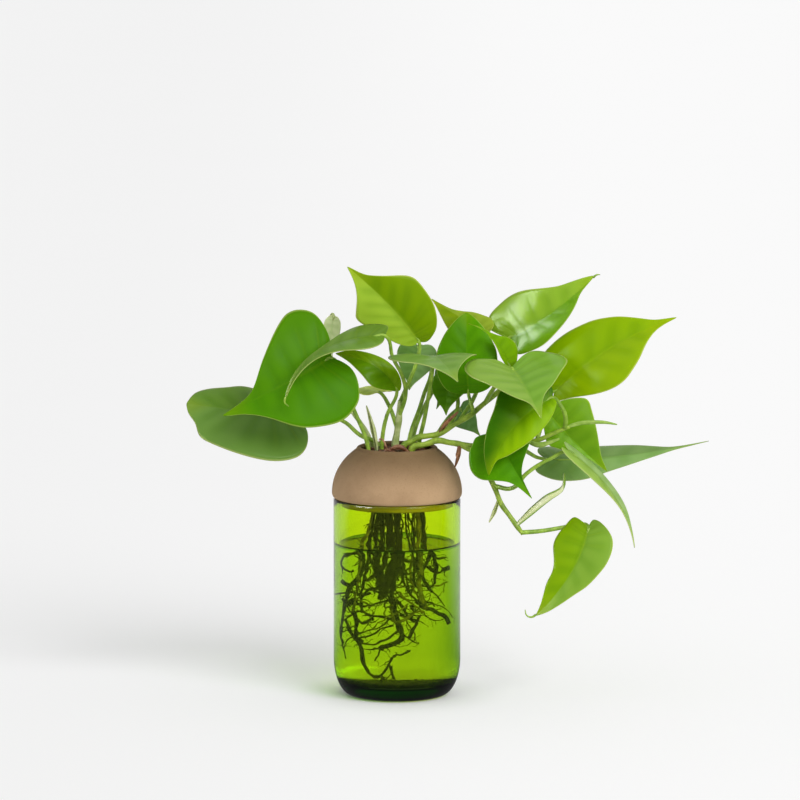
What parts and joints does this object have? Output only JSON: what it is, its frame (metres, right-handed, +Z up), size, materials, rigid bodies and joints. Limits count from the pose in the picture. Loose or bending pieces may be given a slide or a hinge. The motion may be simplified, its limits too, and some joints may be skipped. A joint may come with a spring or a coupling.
{
  "type": "glass planter",
  "caption": "Self-watering planter: a green glass vessel with a domed clay top seated in its rim, and a heart-leaf vine that grows through the top and hangs its roots inside the glass.",
  "frame": {"origin": "centre of the glass vessel's flat base, where it stands on the table", "axes": "+Z up along the axis of the glass, -Y towards the front, +X to the right, along the long side of the plant"},
  "size_m": [0.3115, 0.1024, 0.256],
  "materials": {
    "glass": "gloss",
    "clay": "matte",
    "substrate": "matte",
    "stem": "satin",
    "leaf_deep": "satin",
    "leaf_fresh": "satin",
    "leaf_lime": "satin",
    "leaf_grey": "satin",
    "sheath_pale": "matte",
    "sheath_dry": "matte",
    "root": "matte"
  },
  "bodies": {
    "vessel": {"glass_vessel": "glass"},
    "top": {"clay_top": "clay"},
    "plant": {"substrate_plug": "substrate", "stem_upright": "stem", "vine_upper": "stem", "vine_lower": "stem", "vine_side": "stem", "leaf_far_left": "leaf_deep", "leaf_front_left": "leaf_fresh", "leaf_curled_left": "leaf_grey", "leaf_back_left": "leaf_grey", "leaf_young_left": "leaf_lime", "leaf_flat_left": "leaf_lime", "leaf_top": "leaf_lime", "leaf_back_centre": "leaf_grey", "leaf_back_top": "leaf_lime", "leaf_centre": "leaf_deep", "leaf_level": "leaf_grey", "leaf_upper_right": "leaf_fresh", "leaf_right": "leaf_lime", "leaf_front_right": "leaf_fresh", "leaf_folded": "leaf_fresh", "leaf_lower_front": "leaf_lime", "leaf_lower_right": "leaf_fresh", "leaf_long": "leaf_grey", "leaf_bottom_front": "leaf_deep", "leaf_narrow": "leaf_fresh", "leaf_hanging": "leaf_fresh", "leaf_shaded": "leaf_grey", "leaf_back_right": "leaf_grey", "leaf_low_centre": "leaf_fresh", "new_leaf_right": "leaf_fresh", "new_leaf_hanging": "sheath_pale", "sheath_side": "leaf_fresh", "sheath_thorn": "sheath_dry", "sheath_brown": "sheath_dry", "sheath_hanging": "sheath_pale", "sheath_pale": "sheath_pale", "root_mass": "root"}
  },
  "joints": [
    {"name": "top_lift", "type": "slide", "parent": "vessel", "child": "top", "axis": [0, 0, 1], "range_m": [0, 0.12]},
    {"name": "plant_turn", "type": "hinge", "parent": "top", "child": "plant", "pos_m": [0, 0, 0.13], "axis": [0, 0, 1], "continuous": true}
  ]
}
